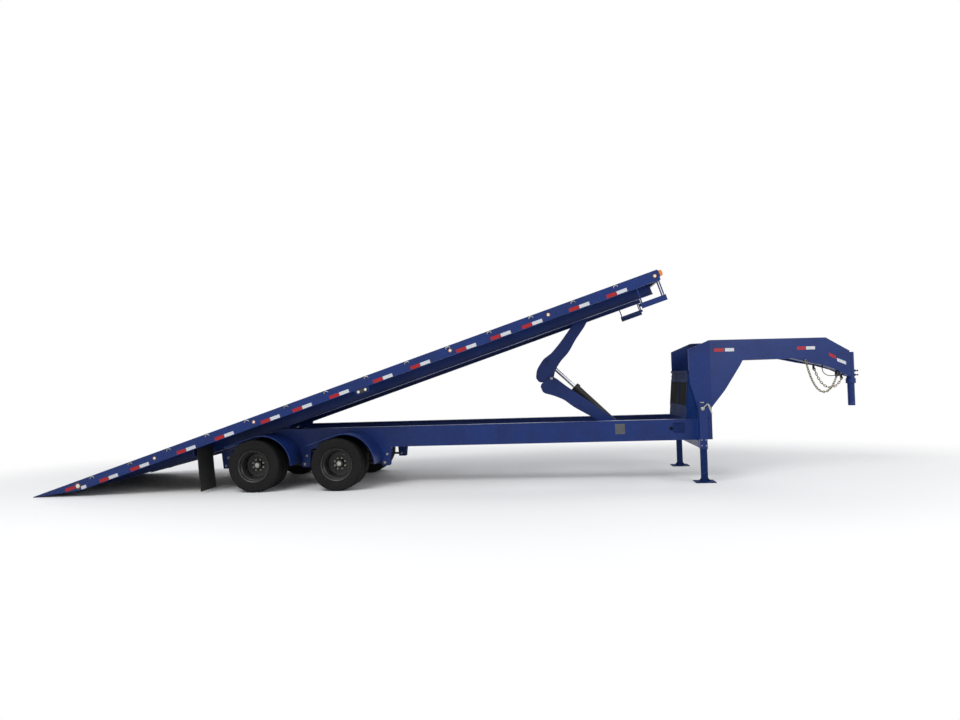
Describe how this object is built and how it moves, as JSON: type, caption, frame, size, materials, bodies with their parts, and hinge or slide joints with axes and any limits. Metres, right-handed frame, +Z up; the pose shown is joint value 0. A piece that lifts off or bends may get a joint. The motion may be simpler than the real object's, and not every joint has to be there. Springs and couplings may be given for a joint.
{
  "type": "gooseneck deckover tilt trailer",
  "caption": "Gooseneck deckover trailer with a full-length tilting deck, a scissor hoist, twin-wheel tandem axles and two jack legs.",
  "frame": {"origin": "centre of the whole trailer's box in X and Y, at ground level, standing on its wheels and jack legs with the bed tilted up", "axes": "+X forward to the coupler, +Y to the trailer's left side, +Z up"},
  "size_m": [12.4452, 2.623, 3.0147],
  "materials": {
    "blue_paint": "glossy blue paint with dust and scuffs",
    "black_paint": "satin black paint",
    "rim_paint": "satin black wheel paint, dusty",
    "bare_steel": "turned steel, greased",
    "chrome": "polished hard chrome",
    "tyre": "dusty black tyre rubber",
    "rubber": "dull black rubber sheet",
    "planks": "treated softwood planks, weathered",
    "lamps": "amber and red lamp lenses in black grommets",
    "zinc": "zinc-plated steel",
    "amber_lens": "amber lamp lens",
    "red_lens": "red lamp lens",
    "black_plastic": "black moulded plastic"
  },
  "bodies": {
    "frame": {"frame_rails": "blue_paint", "frame_crossmembers": "blue_paint", "pivot_shaft": "bare_steel", "fenders": "blue_paint", "axle_rear": "black_paint", "axle_front": "black_paint", "leaf_springs": "black_paint", "spring_hangers": "blue_paint", "hoist_base": "bare_steel", "risers": "blue_paint", "neck_beams": "blue_paint", "neck_gussets": "blue_paint", "coupler_outer": "blue_paint", "coupler_inner": "blue_paint", "jack_tubes": "blue_paint", "jack_legs": "blue_paint", "jack_crossbeam": "blue_paint", "toolbox": "blue_paint", "neck_nose": "blue_paint", "neck_crossmembers": "blue_paint", "jack_cranks": "zinc", "safety_chains": "zinc", "electric_lead": "rubber", "lead_plug": "black_plastic", "neck_fittings": "blue_paint"},
    "bed": {"bed_side_rails": "blue_paint", "bed_beams": "blue_paint", "bed_crossmembers": "blue_paint", "deck_planks": "planks", "tail_plate": "blue_paint", "bed_header": "blue_paint", "pivot_ears": "blue_paint", "hoist_head_mount": "bare_steel", "front_steps": "blue_paint", "mud_flaps": "rubber", "flap_hangers": "blue_paint", "side_lamps": "lamps", "corner_lamps": "amber_lens", "turn_lamps": "lamps", "tail_lamps": "red_lens"},
    "lower_arm": {"hoist_lower_arm": "blue_paint"},
    "upper_arm": {"hoist_upper_arm": "blue_paint"},
    "barrel": {"cylinder_barrel": "black_paint"},
    "rod": {"cylinder_rod": "chrome"},
    "box_lid": {"toolbox_lid": "blue_paint"},
    "rear_near_wheels": {"tyres_rear_near": "tyre", "wheel_rear_near": "rim_paint"},
    "rear_far_wheels": {"tyres_rear_far": "tyre", "wheel_rear_far": "rim_paint"},
    "front_near_wheels": {"tyres_front_near": "tyre", "wheel_front_near": "rim_paint"},
    "front_far_wheels": {"tyres_front_far": "tyre", "wheel_front_far": "rim_paint"}
  },
  "joints": [
    {"name": "bed_tilt", "type": "hinge", "parent": "frame", "child": "bed", "pos_m": [-2.61043, 0, 0.8], "axis": [0, -1, 0], "range_deg": [-17.95, 0]},
    {"name": "lower_arm_fold", "type": "hinge", "parent": "frame", "child": "lower_arm", "pos_m": [2.53757, 0, 0.785], "axis": [0, -1, 0], "range_deg": [0, 37.85]},
    {"name": "upper_arm_fold", "type": "hinge", "parent": "bed", "child": "upper_arm", "pos_m": [2.11757, 0, 2.52], "axis": [0, -1, 0], "range_deg": [-32.01, 0]},
    {"name": "cylinder_swing", "type": "hinge", "parent": "frame", "child": "barrel", "pos_m": [2.53757, 0, 0.785], "axis": [0, -1, 0], "range_deg": [0, 34.83]},
    {"name": "cylinder_stroke", "type": "slide", "parent": "barrel", "child": "rod", "axis": [-0.7123, 0, 0.7018], "range_m": [-0.3518, 0]},
    {"name": "box_lid_hinge", "type": "hinge", "parent": "frame", "child": "box_lid", "pos_m": [3.85757, 0, 1.5873], "axis": [0, 1, 0], "range_deg": [0, 85]},
    {"name": "rear_near_wheel_spin", "type": "hinge", "parent": "frame", "child": "rear_near_wheels", "pos_m": [-2.85243, -0.981, 0.3835], "axis": [0, 1, 0], "continuous": true},
    {"name": "rear_far_wheel_spin", "type": "hinge", "parent": "frame", "child": "rear_far_wheels", "pos_m": [-2.85243, 0.981, 0.3835], "axis": [0, 1, 0], "continuous": true},
    {"name": "front_near_wheel_spin", "type": "hinge", "parent": "frame", "child": "front_near_wheels", "pos_m": [-1.60743, -0.981, 0.3835], "axis": [0, 1, 0], "continuous": true},
    {"name": "front_far_wheel_spin", "type": "hinge", "parent": "frame", "child": "front_far_wheels", "pos_m": [-1.60743, 0.981, 0.3835], "axis": [0, 1, 0], "continuous": true}
  ],
  "couplings": [
    {"joint": "lower_arm_fold", "follows": "bed_tilt", "ratio": -2.1072},
    {"joint": "upper_arm_fold", "follows": "bed_tilt", "ratio": 1.7817},
    {"joint": "cylinder_swing", "follows": "bed_tilt", "ratio": -1.9388},
    {"joint": "cylinder_stroke", "follows": "bed_tilt", "m_per_rad": 1.1214}
  ]
}
